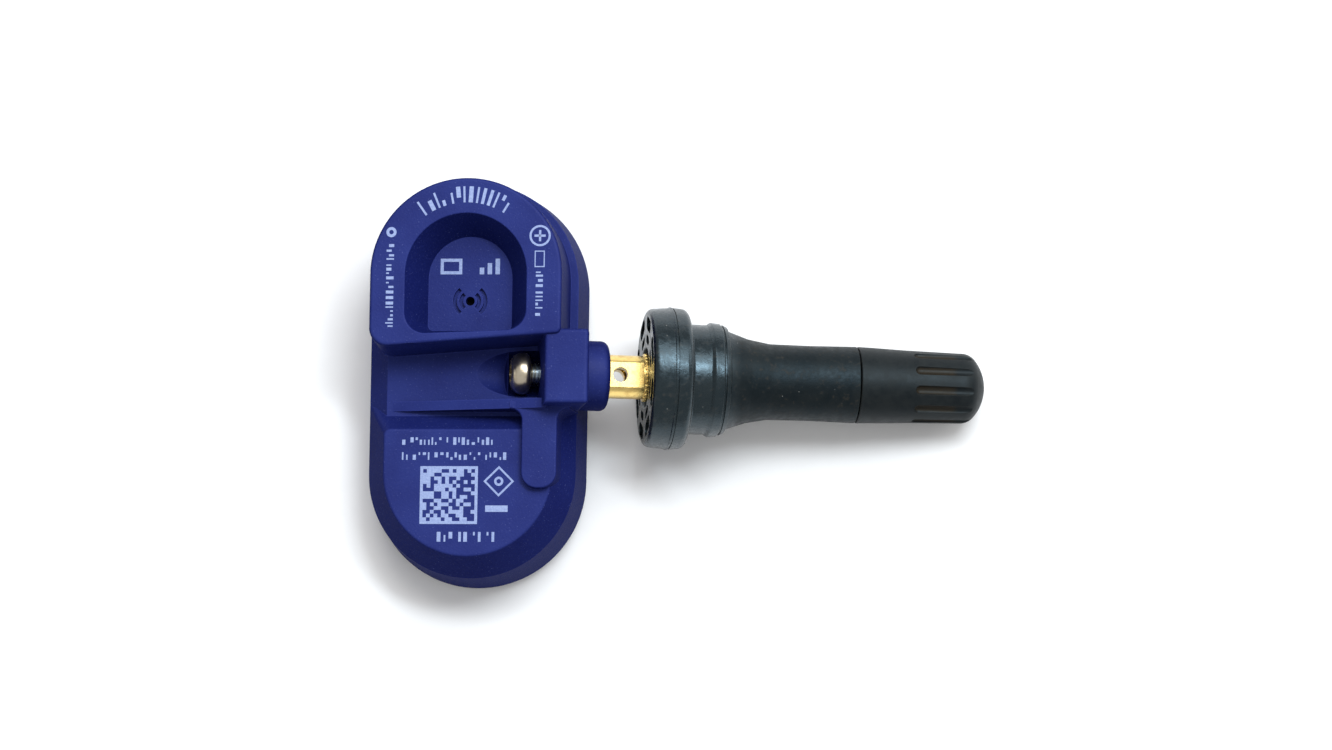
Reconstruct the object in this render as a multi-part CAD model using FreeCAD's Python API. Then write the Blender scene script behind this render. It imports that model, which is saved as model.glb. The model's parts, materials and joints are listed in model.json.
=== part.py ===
import FreeCAD, Part
import math
import os

# Snap-in wheel pressure sensor: a sealed sensor body screwed to the brass tail of a rubber
# snap-in tyre valve with a screw-on cap.  It lies as it comes to rest on a table, on one long
# edge of the sensor body and on the side of the valve cap.
#
# Row frame: +X from the sensor body towards the cap, +Y along the sensor body, +Z up, origin on
# the table under the middle of the whole object.  Two local frames are used to build it:
#   body frame   x towards the valve, y along the body, z out of the bottom cover
#   valve frame  x along the valve axis towards the cap, origin on the rubber flange's inner face
# All sizes are millimetres and degrees.

Vec = FreeCAD.Vector
X_AXIS = Vec(1, 0, 0)
Y_AXIS = Vec(0, 1, 0)
Z_AXIS = Vec(0, 0, 1)
CENTRE = Vec(0, 0, 0)

# ---- attitude of the two halves -------------------------------------------------------------
BODY_TILT = 6.8  # sensor body leans, valve side up
VALVE_DROOP = 15.015  # valve axis below the plane of the sensor body
FLANGE_X = 22.72  # body frame: centre of the rubber flange's inner face
FLANGE_Y = 0.55
FLANGE_Z = 6.40

# ---- sensor housing, outside ----------------------------------------------------------------
END_CENTRE_Y = 12.65  # centres of the round ends of the base
BASE_HALF_W_LOW = 14.3
BASE_HALF_W_TOP = 13.85
BASE_TOP = 8.0
WALL = 1.3

DOME_HALF_W = 12.8
DOME_END_Y = 25.8
DOME_STEP_Y_LOW = 3.4
DOME_STEP_Y_TOP = 4.15
DOME_STEP_SLANT = 0.95  # rise of the step from the middle of the dome to its valve side
DOME_LUG_CORNER = 0.8
DOME_TOP = 17.7
DOME_CORNER = 2.4

RECESS_FLOOR = 12.8
RIM_HALF_W = 8.15
RIM_Y = (5.25, 21.1)
RIM_SLANT = 0.3
RIM_CORNER = 2.8
FLOOR_HALF_W = 5.6
FLOOR_Y = (6.0, 18.55)
FLOOR_CORNER = 0.7

PORT_Y = 9.95
PORT_RADIUS = 0.6
SIGNAL_ARC_RADII = (1.2, 2.05)
SIGNAL_ARC_WIDTH = 0.5
SIGNAL_ARC_HALF_ANGLE = 50.0
ENGRAVING = 0.5

PLATEAU_TOP = 12.8
PLATEAU_HALF_W = 11.2
PLATEAU_END_Y = -24.05
PLATEAU_EDGE_Y = -7.2
PLATEAU_FOOT_Y = -3.17

TROUGH_TOP = 10.3
TROUGH_LEFT_X = -11.25
TROUGH_Y = (-9.0, 5.0)

RAIL_Y = (-4.5, -3.2)
RAIL_START_X = -10.5
RAIL_END_Z = 14.8

LUG_LEFT_X = 10.7
LUG_RIGHT_X = 16.65
LUG_TOP = 17.2
LUG_BOTTOM = 4.6
LUG_Y = (-4.25, 5.75)

FINGER_TOP = 13.9
FINGER_TOP_X = (7.3, 12.0)
FINGER_FOOT_X = (6.9, 12.5)
FINGER_END_Y = -15.1
FINGER_FLARE = 1.6  # radius of the hollow corners where the rib meets the rail

# ---- along the valve axis, in the valve frame -----------------------------------------------
HEAD_POCKET_RADIUS = 3.1
HEAD_POCKET_S = -18.15
RELIEF_RADIUS = 3.2  # groove that lets the driver in, steeper than the valve
RELIEF_SLOPE = 27.0
RELIEF_TIP_X = 0.7
RELIEF_LENGTH = 5.5
LUG_LEFT_S = -13.8
COLLAR_END_S = -5.1
COLLAR_RADIUS = 4.65
TAIL_END_S = -11.7
TAIL_RADIUS = 2.9
TAIL_FLAT = 2.385  # flats of the tail, from its axis
TAIL_FIT = 0.05
AIR_HOLE_S = -3.6
AIR_HOLE_RADIUS = 1.0
KNURL_START_S = -0.3
KNURL_RADIUS = 3.2
KNURL_GROOVES = 30

SCREW_SEAT_S = -15.49
SCREW_HEAD_RADIUS = 2.8
SCREW_HEAD_HEIGHT = 2.5
SCREW_END_S = -7.5
SCREW_RADIUS = 1.5
SCREW_PITCH = 0.5
SCREW_THREAD_DEPTH = 0.3
SCREW_HOLE_RADIUS = 1.65
TAPPED_HOLE_RADIUS = 1.55
TAPPED_HOLE_END_S = -6.9

FLANGE_FACE_RADIUS = 9.15
FLANGE_RADIUS = 9.42
FLANGE_END_S = 5.5
NECK_RADIUS = 7.3
NECK_END_S = 8.0
RIDGE_RADIUS = 7.62
STEM_RUBBER_RADIUS = 5.1
RUBBER_END_S = 28.3
DISH_RADIUS = 4.0  # shallow recess around the brass in the flange's inner face
DISH_DEPTH = 0.9
RUBBER_LIP_RADIUS = 4.05
RUBBER_LIP_END_S = 29.3
FLANGE_POCKET_DEPTH = 0.9
OUTER_POCKETS = (8, 7.3, 0.9, 1.05)  # count, ring radius, end radius, half straight length
INNER_POCKETS = (8, 5.2, 0.55, 0.75)

MOUTH_S = 42.0
THREAD_RADIUS = 3.85
THREAD_PITCH = 0.794
THREAD_DEPTH = 0.45
THREAD_START_S = 29.6

CAP_START_S = 28.45
CAP_END_S = 45.7
CAP_EDGE_RADIUS = 2.2  # between the side and the domed end
CAP_TIP_RADIUS = 6.0  # of the domed end
CAP_OPEN_RADIUS = 5.1
CAP_DOME_RADIUS = 4.68
CAP_BORE_RADIUS = 3.95
CAP_MOUTH_RADIUS = 4.35
CAP_THREAD_DEPTH = 0.3
CAP_SEAL_RADIUS = 3.3
CAP_SEAL_S = (42.3, 43.3)
CAP_FLUTES = 11
CAP_FLUTE_RADIUS = 0.65
CAP_FLUTE_CENTRE = 5.0
CAP_FLUTE_START_S = 36.4
CAP_FLUTE_TURN = 12.0  # degrees from straight up to the first flute

# ---- valve core -----------------------------------------------------------------------------
CORE_PLUG_RADIUS = 2.6
CORE_PLUG_S = (36.6, 40.9)
CORE_THREAD_PITCH = 0.706
CORE_THREAD_DEPTH = 0.25
CORE_THREAD_TURNS = 5
CORE_BARREL_RADIUS = 1.75
CORE_BARREL_S = 29.5
CORE_CHAMBER_RADIUS = 1.35
CORE_CHAMBER_S = (31.0, 39.4)
CORE_PIN_RADIUS = 0.45
CORE_PIN_HOLE_RADIUS = 0.75
PIN_S = (26.2, 41.6)
PIN_COLLAR_S = (38.6, 39.1)
PIN_COLLAR_RADIUS = 1.2
POPPET_S = (26.4, 28.4)
POPPET_RADIUS = 1.6
POPPET_SEAL_END_S = 29.4
SPRING_RADIUS = 0.95
SPRING_WIRE = 0.28
SPRING_TURNS = 8

# ---- inside the sensor body -----------------------------------------------------------------
COVER_THICKNESS = 1.5
COVER_HALF_W = 12.95
COVER_FIT = 0.05
BOARD_BOTTOM = 5.9
BOARD_TOP = 6.7
BOARD_HALF_W = 12.2
CELL_Y = -12.6
CELL_RADIUS = 10.0
CELL_Z = (2.1, 5.3)
CELL_SKIN = 0.25
TAB_THICKNESS = 0.2
TAB_WIDTH = 3.0
NEGATIVE_TAB_X = 8.4
POSITIVE_TAB_Y = -23.4
TAB_TOP = 7.2


# ---- helpers --------------------------------------------------------------------------------
def rounded_outline(corners, z=0.0):
    """Closed wire at height z through (x, y, radius) corners, each rounded by its own radius."""
    turns = []
    for index, (x, y, radius) in enumerate(corners):
        here = Vec(x, y, z)
        before = Vec(corners[index - 1][0], corners[index - 1][1], z)
        after_corner = corners[(index + 1) % len(corners)]
        after = Vec(after_corner[0], after_corner[1], z)
        if radius == 0:
            turns.append((here, here, here))
            continue
        back = (before - here).normalize()
        ahead = (after - here).normalize()
        half_angle = back.getAngle(ahead) / 2
        middle = (back + ahead).normalize()
        reach = radius / math.tan(half_angle)
        nearest = radius / math.sin(half_angle) - radius
        turns.append((here + back * reach, here + middle * nearest, here + ahead * reach))
    edges = []
    for index, (start, middle, end) in enumerate(turns):
        last_end = turns[index - 1][2]
        if last_end.distanceToPoint(start) > 1e-6:
            edges.append(Part.LineSegment(last_end, start).toShape())
        if start.distanceToPoint(end) > 1e-6:
            edges.append(Part.Arc(start, middle, end).toShape())
    return Part.Wire(edges)


def rounded_box_corners(x_range, y_range, low_radius, high_radius):
    """Corners of a plan rectangle, rounded differently at its low-y and high-y ends."""
    return [
        (x_range[0], y_range[0], low_radius),
        (x_range[1], y_range[0], low_radius),
        (x_range[1], y_range[1], high_radius),
        (x_range[0], y_range[1], high_radius),
    ]


def slant_low_side(corners, rise):
    """Plan rectangle whose low-y side climbs by the rise on each side of its middle."""
    (left_x, left_y, left_radius), (right_x, right_y, right_radius) = corners[:2]
    low_side = [(left_x, left_y - rise, left_radius), (right_x, right_y + rise, right_radius)]
    return low_side + corners[2:]


def tapered_block(low_corners, low_z, high_corners, high_z):
    """Solid with straight walls from one plan outline to another above it."""
    wires = [rounded_outline(low_corners, low_z), rounded_outline(high_corners, high_z)]
    return Part.makeLoft(wires, True, True)


def straight_block(corners, low_z, high_z):
    """Prism of a plan outline."""
    face = Part.Face(rounded_outline(corners, low_z))
    return face.extrude(Vec(0, 0, high_z - low_z))


def box(x_range, y_range, z_range):
    """Plain rectangular block between two corners."""
    size = [high - low for low, high in (x_range, y_range, z_range)]
    return Part.makeBox(size[0], size[1], size[2], Vec(x_range[0], y_range[0], z_range[0]))


def side_profile_block(points, y_range):
    """Block whose outline is given in the x-z plane and which runs along y."""
    corners = [Vec(x, y_range[0], z) for x, z in points]
    face = Part.Face(Part.makePolygon(corners + corners[:1]))
    return face.extrude(Vec(0, y_range[1] - y_range[0], 0))


def stadium(half_w_low, low_z, half_w_top, high_z):
    """Block with two round ends on the base's end centres."""
    outlines = []
    for half_w in (half_w_low, half_w_top):
        reach = END_CENTRE_Y + half_w
        outlines.append(rounded_box_corners((-half_w, half_w), (-reach, reach), half_w, half_w))
    return tapered_block(outlines[0], low_z, outlines[1], high_z)


def turned(corners):
    """Solid turned about the valve axis from (s, radius, rounding) corners."""
    return Part.Face(rounded_outline(corners)).revolve(CENTRE, X_AXIS, 360)


def rod(radius, s_range):
    """Plain cylinder on the valve axis."""
    return Part.makeCylinder(radius, s_range[1] - s_range[0], Vec(s_range[0], 0, 0), X_AXIS)


def aside_rod(radius, s_range, offset):
    """Plain cylinder along the valve axis, beside it."""
    return Part.makeCylinder(radius, s_range[1] - s_range[0], Vec(s_range[0], 0, offset), X_AXIS)


def ring(outer, inner, s_range):
    """Plain tube on the valve axis."""
    return rod(outer, s_range).cut(rod(inner, s_range))


def thread_corners(start, pitch, count, crest, root):
    """Zigzag of thread crests and roots along the axis."""
    corners = []
    for turn in range(count):
        corners.append((start + turn * pitch, crest, 0))
        corners.append((start + (turn + 0.5) * pitch, root, 0))
    return corners


def around_axis(shape, count, first_angle=0.0):
    """Copies of a shape spaced evenly about the valve axis."""
    copies = []
    for index in range(count):
        copy = shape.copy()
        copy.rotate(CENTRE, X_AXIS, first_angle + index * 360.0 / count)
        copies.append(copy)
    return copies


def rounded_edges(shape, radius, chosen):
    """Shape with a fillet on each edge that the test function picks."""
    edges = [edge for edge in shape.Edges if chosen(edge)]
    return shape.makeFillet(radius, edges)


def lies_at_height(edge, z):
    """True when a whole edge lies in the plane at height z."""
    middle = edge.valueAt((edge.FirstParameter + edge.LastParameter) / 2)
    heights = [vertex.Z for vertex in edge.Vertexes] + [middle.z]
    return all(abs(height - z) < 1e-4 for height in heights)


def to_body_frame(shape):
    """Place a valve-frame shape in the body frame."""
    placed = shape.copy()
    placed.rotate(CENTRE, Y_AXIS, VALVE_DROOP)
    placed.translate(Vec(FLANGE_X, FLANGE_Y, FLANGE_Z))
    return placed


# ---- sensor housing -------------------------------------------------------------------------
def make_dome():
    """Upper half of the housing with the sloping recess around the pressure port."""
    outlines = []
    for step_y in (DOME_STEP_Y_LOW, DOME_STEP_Y_TOP):
        corners = rounded_box_corners(
            (-DOME_HALF_W, DOME_HALF_W), (step_y, DOME_END_Y), DOME_CORNER, DOME_HALF_W
        )
        slanted = slant_low_side(corners, DOME_STEP_SLANT)
        slanted[1] = (slanted[1][0], slanted[1][1], DOME_LUG_CORNER)
        outlines.append(slanted)
    dome = tapered_block(outlines[0], BASE_TOP - 1, outlines[1], DOME_TOP)
    dome = rounded_edges(dome, 0.45, lambda edge: lies_at_height(edge, DOME_TOP))
    rim = rounded_box_corners((-RIM_HALF_W, RIM_HALF_W), RIM_Y, RIM_CORNER, RIM_HALF_W)
    rim = slant_low_side(rim, RIM_SLANT)
    floor = rounded_box_corners((-FLOOR_HALF_W, FLOOR_HALF_W), FLOOR_Y, FLOOR_CORNER, FLOOR_HALF_W)
    dome = dome.cut(tapered_block(floor, RECESS_FLOOR, rim, DOME_TOP))
    inner_rim = [edge for edge in dome.Edges if lies_at_height(edge, DOME_TOP)]
    return dome.makeFillet(0.2, [edge for edge in inner_rim if edge_is_inside_rim(edge)])


def edge_is_inside_rim(edge):
    """True for edges of the recess rim and not of the dome's own outline."""
    box_of_edge = edge.BoundBox
    inside_x = max(abs(box_of_edge.XMin), abs(box_of_edge.XMax)) < RIM_HALF_W + 0.3
    inside_y = box_of_edge.YMax < RIM_Y[1] + 0.3 and box_of_edge.YMin > RIM_Y[0] - RIM_SLANT - 0.3
    return inside_x and inside_y


def make_plateau():
    """Flat-topped lower half with a bevel all round."""
    foot_reach = -(END_CENTRE_Y + BASE_HALF_W_TOP)
    foot = rounded_box_corners(
        (-BASE_HALF_W_TOP, BASE_HALF_W_TOP), (foot_reach, PLATEAU_FOOT_Y), BASE_HALF_W_TOP, 0.6
    )
    top = rounded_box_corners(
        (-PLATEAU_HALF_W, PLATEAU_HALF_W), (PLATEAU_END_Y, PLATEAU_EDGE_Y), PLATEAU_HALF_W, 0.9
    )
    plateau = tapered_block(foot, BASE_TOP, top, PLATEAU_TOP)
    return rounded_edges(plateau, 0.35, lambda edge: lies_at_height(edge, PLATEAU_TOP))


def make_trough_floor():
    """Low floor between the two halves, with the bevel of its free end."""
    outline = [
        (-BASE_HALF_W_TOP, BASE_TOP),
        (TROUGH_LEFT_X, TROUGH_TOP),
        (LUG_LEFT_X, TROUGH_TOP),
        (LUG_LEFT_X, BASE_TOP),
    ]
    return side_profile_block(outline, TROUGH_Y)


def make_rail():
    """Thin wall beside the screw channel, rising towards the lug."""
    outline = [
        (RAIL_START_X, TROUGH_TOP),
        (LUG_LEFT_X, RAIL_END_Z),
        (LUG_LEFT_X, BASE_TOP),
        (RAIL_START_X, BASE_TOP),
    ]
    return side_profile_block(outline, RAIL_Y)


def lug_x(top_x, z):
    """Position at height z of a lug face square to the valve axis."""
    return top_x - (LUG_TOP - z) * math.tan(math.radians(VALVE_DROOP))


def make_lug():
    """Block that takes the brass tail and the screw, its end faces square to the valve."""
    outline = [
        (LUG_LEFT_X, LUG_TOP),
        (LUG_RIGHT_X, LUG_TOP),
        (lug_x(LUG_RIGHT_X, LUG_BOTTOM), LUG_BOTTOM),
        (lug_x(LUG_LEFT_X, LUG_BOTTOM), LUG_BOTTOM),
    ]
    lug = side_profile_block(outline, LUG_Y)
    right_face_x = lug_x(LUG_RIGHT_X, (LUG_TOP + LUG_BOTTOM) / 2)
    return rounded_edges(lug, 0.55, lambda edge: edge.CenterOfMass.z > LUG_TOP - 0.1
                         or edge.CenterOfMass.x > right_face_x - 0.1)


def finger_corners(x_range, end_y, end_radius):
    """Plan outline of the rib, flared where it runs into the rail."""
    flare_y = RAIL_Y[0]
    inside_rail_y = RAIL_Y[0] + 0.9
    return [
        (x_range[0] - FINGER_FLARE, inside_rail_y, 0),
        (x_range[0] - FINGER_FLARE, flare_y, 0),
        (x_range[0], flare_y, FINGER_FLARE),
        (x_range[0], end_y, end_radius),
        (x_range[1], end_y, end_radius),
        (x_range[1], flare_y, FINGER_FLARE),
        (x_range[1] + FINGER_FLARE, flare_y, 0),
        (x_range[1] + FINGER_FLARE, inside_rail_y, 0),
    ]


def make_finger():
    """Raised rib beside the plateau that stiffens the lug."""
    foot = finger_corners(FINGER_FOOT_X, FINGER_END_Y - 0.3, 2.5)
    top = finger_corners(FINGER_TOP_X, FINGER_END_Y, 2.1)
    finger = tapered_block(foot, BASE_TOP, top, FINGER_TOP)
    return rounded_edges(finger, 0.25, lambda edge: lies_at_height(edge, FINGER_TOP)
                         and edge.CenterOfMass.y < RAIL_Y[0] - 0.1)


def make_collar():
    """Round boss on the lug around the brass tail."""
    corners = [
        (LUG_LEFT_S, 0, 0),
        (LUG_LEFT_S, COLLAR_RADIUS, 0),
        (COLLAR_END_S, COLLAR_RADIUS, 1.0),
        (COLLAR_END_S, 0, 0),
    ]
    return to_body_frame(turned(corners))


def driver_relief(extra):
    """Sloping groove for the driver and pocket for the screw's head, grown by a wall thickness."""
    slope = math.radians(RELIEF_SLOPE)
    tip_axis_z = TROUGH_TOP + RELIEF_RADIUS / math.cos(slope)
    tip = Vec(RELIEF_TIP_X, FLANGE_Y, tip_axis_z)
    down_slope = Vec(math.cos(slope), 0, -math.sin(slope))
    reach_back = 30.0
    groove = Part.makeCylinder(RELIEF_RADIUS + extra, reach_back + RELIEF_LENGTH + extra,
                               tip - down_slope * reach_back, down_slope)
    pocket = rod(HEAD_POCKET_RADIUS + extra, (HEAD_POCKET_S - extra, LUG_LEFT_S + extra))
    return [groove, to_body_frame(pocket)]


def make_cavity():
    """Space inside the housing, clear of the screw channel, lug and recess walls."""
    shoulder = BOARD_TOP
    base_room = stadium(BASE_HALF_W_LOW - WALL, -1.0, BASE_HALF_W_TOP - WALL, shoulder)
    dome_half_w = DOME_HALF_W - WALL
    dome_plan = rounded_box_corners(
        (-dome_half_w, dome_half_w), (DOME_STEP_Y_TOP + WALL, DOME_END_Y - WALL), 1.2, dome_half_w
    )
    dome_room = straight_block(slant_low_side(dome_plan, DOME_STEP_SLANT), shoulder - 1, DOME_TOP - WALL)
    recess_skin = 1.47
    skin_low_w = 6.4
    skin = tapered_block(
        rounded_box_corners((-skin_low_w, skin_low_w), (4.2, FLOOR_Y[1] + 0.8), 0.8, skin_low_w),
        RECESS_FLOOR - WALL,
        rounded_box_corners((-RIM_HALF_W - recess_skin, RIM_HALF_W + recess_skin),
                            (3.4, RIM_Y[1] + recess_skin), 1.6, RIM_HALF_W + recess_skin),
        DOME_TOP)
    ceiling = PLATEAU_TOP - WALL
    plateau_room = tapered_block(
        rounded_box_corners((-11.5, 11.5), (-24.4, -5.6), 11.5, 0.6), shoulder - 1,
        rounded_box_corners((-10.1, 10.1), (-23.3, -7.9), 10.1, 0.6), ceiling)
    trough_room = box((-10.6, LUG_LEFT_X), (-6.5, DOME_STEP_Y_TOP + WALL + 0.5),
                      (shoulder - 1, TROUGH_TOP - WALL))
    room = base_room.fuse([dome_room.cut(skin), plateau_room, trough_room])
    lug_core = box((7.4, 16.0), (LUG_Y[0] - 0.8, LUG_Y[1] + 0.2), (LUG_BOTTOM, LUG_TOP))
    return room.cut(driver_relief(WALL) + [lug_core, make_collar()])


def tail_section(radius, flat, s_range):
    """Round bar with two flats, on the valve axis."""
    flats = box((s_range[0], s_range[1]), (-radius - 1, radius + 1), (-flat, flat))
    return rod(radius, s_range).common(flats)


def make_signal_arcs():
    """Shallow curved grooves on both sides of the pressure port."""
    arcs = []
    for radius in SIGNAL_ARC_RADII:
        foot = Vec(0, PORT_Y, RECESS_FLOOR - ENGRAVING)
        sweep = 2 * SIGNAL_ARC_HALF_ANGLE
        outer = Part.makeCylinder(radius + SIGNAL_ARC_WIDTH / 2, 1.0, foot, Z_AXIS, sweep)
        inner = Part.makeCylinder(radius - SIGNAL_ARC_WIDTH / 2, 1.0, foot, Z_AXIS)
        for side in (0, 180):
            arc = outer.cut(inner)
            arc.rotate(foot, Z_AXIS, side - SIGNAL_ARC_HALF_ANGLE)
            arcs.append(arc)
    return arcs


def make_housing():
    base = stadium(BASE_HALF_W_LOW, 0, BASE_HALF_W_TOP, BASE_TOP)
    outside = base.fuse([make_plateau(), make_trough_floor(), make_rail(), make_finger(),
                         make_dome(), make_lug(), make_collar()])
    screw_hole = to_body_frame(rod(SCREW_HOLE_RADIUS, (LUG_LEFT_S - 1, TAIL_END_S)))
    tail_bore = to_body_frame(tail_section(TAIL_RADIUS + TAIL_FIT, TAIL_FLAT + TAIL_FIT,
                                           (TAIL_END_S - 0.1, COLLAR_END_S + 1)))
    port = Part.makeCylinder(PORT_RADIUS, 3 * WALL, Vec(0, PORT_Y, RECESS_FLOOR - 2 * WALL))
    rebate_half_w = COVER_HALF_W + COVER_FIT
    rebate = stadium(rebate_half_w, -1.0, rebate_half_w, COVER_THICKNESS)
    cuts = [make_cavity(), screw_hole, tail_bore, port, rebate]
    return outside.cut(cuts + driver_relief(0) + make_signal_arcs()).removeSplitter()


def make_bottom_cover():
    """Plate closing the housing from below, with moulding dimples."""
    cover = stadium(COVER_HALF_W, 0, COVER_HALF_W, COVER_THICKNESS)
    cover = rounded_edges(cover, 0.3, lambda edge: lies_at_height(edge, 0))
    dimple_depth = 0.25
    dimples = []
    for x, y in ((0, 19.5), (-7.5, 0), (7.5, 0), (0, -19.5)):
        dimples.append(Part.makeCylinder(1.4, 2 * dimple_depth, Vec(x, y, -dimple_depth)))
    return cover.cut(dimples)


def make_cover_seal():
    """Bead of sealant between the cover and the wall of the housing."""
    outer = stadium(12.6, COVER_THICKNESS, 12.6, COVER_THICKNESS + 0.35)
    inner = stadium(11.7, COVER_THICKNESS - 1, 11.7, COVER_THICKNESS + 1)
    return outer.cut(inner)


# ---- electronics ----------------------------------------------------------------------------
def make_circuit_board():
    board = stadium(BOARD_HALF_W, BOARD_BOTTOM, BOARD_HALF_W, BOARD_TOP)
    lug_notch = box((4.2, 20.0), (-5.6, 6.3), (0, 20))
    negative_slot = box((NEGATIVE_TAB_X - 0.15, NEGATIVE_TAB_X + 0.35),
                        (CELL_Y - 1.7, CELL_Y + 1.7), (0, 20))
    positive_slot = box((-1.7, 1.7), (POSITIVE_TAB_Y - 0.35, POSITIVE_TAB_Y + 0.15), (0, 20))
    return board.cut([lug_notch, negative_slot, positive_slot])


def cell_turned(corners):
    """Solid turned about the coin cell's axis from (radius, height, rounding) corners."""
    face = Part.Face(rounded_outline(corners))
    face.rotate(CENTRE, X_AXIS, 90)
    solid = face.revolve(CENTRE, Z_AXIS, 360)
    solid.translate(Vec(0, CELL_Y, CELL_Z[0]))
    return solid


CELL_HEIGHT = CELL_Z[1] - CELL_Z[0]
CELL_LIP = CELL_HEIGHT - 0.2
CELL_CAP_RADIUS = 8.6


def make_battery_can():
    inner = CELL_RADIUS - CELL_SKIN
    corners = [
        (0, 0, 0), (CELL_RADIUS, 0, 0.3), (CELL_RADIUS, CELL_LIP, 0.2), (9.2, CELL_LIP, 0),
        (9.2, CELL_LIP - CELL_SKIN, 0), (inner, CELL_LIP - CELL_SKIN, 0),
        (inner, CELL_SKIN, 0), (0, CELL_SKIN, 0),
    ]
    return cell_turned(corners)


def make_battery_gasket():
    inner = CELL_RADIUS - CELL_SKIN
    corners = [
        (8.9, 0.6, 0), (inner, 0.6, 0), (inner, CELL_LIP - CELL_SKIN, 0),
        (9.2, CELL_LIP - CELL_SKIN, 0), (9.2, CELL_LIP, 0), (8.9, CELL_LIP, 0),
    ]
    return cell_turned(corners)


def make_battery_cap():
    corners = [
        (0, CELL_HEIGHT, 0), (CELL_CAP_RADIUS, CELL_HEIGHT, 0.3),
        (CELL_CAP_RADIUS, CELL_HEIGHT - 0.6, 0), (8.9, CELL_HEIGHT - 0.6, 0), (8.9, 0.7, 0),
        (8.65, 0.7, 0), (8.65, CELL_HEIGHT - 0.85, 0), (8.35, CELL_HEIGHT - 0.85, 0),
        (8.35, CELL_HEIGHT - CELL_SKIN, 0), (0, CELL_HEIGHT - CELL_SKIN, 0),
    ]
    return cell_turned(corners)


def cell_disc(radius, low, high):
    """Flat disc inside the coin cell."""
    return Part.makeCylinder(radius, high - low, Vec(0, CELL_Y, CELL_Z[0] + low))


def make_battery_tab_positive():
    """Strip welded under the can, bent up past its edge and through the board."""
    under = CELL_Z[0] - TAB_THICKNESS
    outline_y = (POSITIVE_TAB_Y - TAB_THICKNESS, CELL_Y)
    strip = box((-TAB_WIDTH / 2, TAB_WIDTH / 2), outline_y, (under, CELL_Z[0]))
    leg = box((-TAB_WIDTH / 2, TAB_WIDTH / 2), (outline_y[0], POSITIVE_TAB_Y), (under, TAB_TOP))
    return strip.fuse(leg).removeSplitter()


def make_battery_tab_negative():
    """Strip welded on the cap of the cell, bent up through the board."""
    over = (CELL_Z[1], CELL_Z[1] + TAB_THICKNESS)
    y_range = (CELL_Y - TAB_WIDTH / 2, CELL_Y + TAB_WIDTH / 2)
    strip = box((0, NEGATIVE_TAB_X + TAB_THICKNESS), y_range, over)
    leg = box((NEGATIVE_TAB_X, NEGATIVE_TAB_X + TAB_THICKNESS), y_range, (over[0], TAB_TOP))
    return strip.fuse(leg).removeSplitter()


def chip(centre, size):
    """Rectangular component standing on the board."""
    x_range = (centre[0] - size[0] / 2, centre[0] + size[0] / 2)
    y_range = (centre[1] - size[1] / 2, centre[1] + size[1] / 2)
    return box(x_range, y_range, (BOARD_TOP, BOARD_TOP + size[2]))


SENSOR_SIZE = (6.4, 6.4, 2.2)
SENSOR_TOP = BOARD_TOP + SENSOR_SIZE[2]
LID_THICKNESS = 0.3
LID_TOP = SENSOR_TOP + LID_THICKNESS
PORT_CEILING = RECESS_FLOOR - WALL
MEMBRANE_THICKNESS = 0.2


def make_pressure_sensor():
    """Sensor package with an open well under its lid."""
    well = Part.makeCylinder(2.2, 1.4, Vec(0, PORT_Y, SENSOR_TOP - 1.4))
    return chip((0, PORT_Y), SENSOR_SIZE).cut(well)


def make_sensor_lid():
    half = SENSOR_SIZE[0] / 2
    lid = box((-half, half), (PORT_Y - half, PORT_Y + half), (SENSOR_TOP, LID_TOP))
    return lid.cut(Part.makeCylinder(0.6, 2, Vec(0, PORT_Y, SENSOR_TOP - 1)))


def make_port_gasket():
    """Soft tube that joins the hole in the sensor's lid to the port in the housing."""
    foot = Vec(0, PORT_Y, LID_TOP)
    height = PORT_CEILING - LID_TOP
    tube = Part.makeCylinder(1.9, height, foot).cut(Part.makeCylinder(0.8, height, foot))
    seat_foot = Vec(0, PORT_Y, PORT_CEILING - MEMBRANE_THICKNESS)
    return tube.cut(Part.makeCylinder(1.3, MEMBRANE_THICKNESS, seat_foot))


def make_port_membrane():
    """Disc that lets air through and keeps water and sealant out."""
    foot = Vec(0, PORT_Y, PORT_CEILING - MEMBRANE_THICKNESS)
    return Part.makeCylinder(1.3, MEMBRANE_THICKNESS, foot)


def make_capacitors():
    size = (1.6, 0.8, 0.8)
    spots = [(side * 6.5, 8.0 + 2.2 * row) for side in (-1, 1) for row in range(3)]
    return Part.makeCompound([chip(spot, size) for spot in spots])


def make_resistors():
    size = (1.0, 0.5, 0.35)
    spots = [(side * 9.0, 8.0 + 1.6 * row) for side in (-1, 1) for row in range(4)]
    return Part.makeCompound([chip(spot, size) for spot in spots])


# ---- screw and valve, in the valve frame ----------------------------------------------------
def make_mounting_screw():
    """Pan-head screw with a six-lobe drive, its thread drawn as rings."""
    head_s = SCREW_SEAT_S - SCREW_HEAD_HEIGHT
    threads = 15
    root = SCREW_RADIUS - SCREW_THREAD_DEPTH
    thread_start = SCREW_END_S - 0.3 - threads * SCREW_PITCH
    profile = [
        (head_s, 0, 0), (head_s, SCREW_HEAD_RADIUS, 1.45),
        (SCREW_SEAT_S, SCREW_HEAD_RADIUS, 0.8), (SCREW_SEAT_S, root, 0),
    ]
    profile += thread_corners(thread_start, SCREW_PITCH, threads, SCREW_RADIUS, root)
    profile += [(SCREW_END_S, 1.05, 0), (SCREW_END_S, 0, 0)]
    drive_s = (head_s - 1, head_s + 1.3)
    lobe = aside_rod(0.36, drive_s, 1.02)
    return turned(profile).cut([rod(1.05, drive_s)] + around_axis(lobe, 6))


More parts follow.
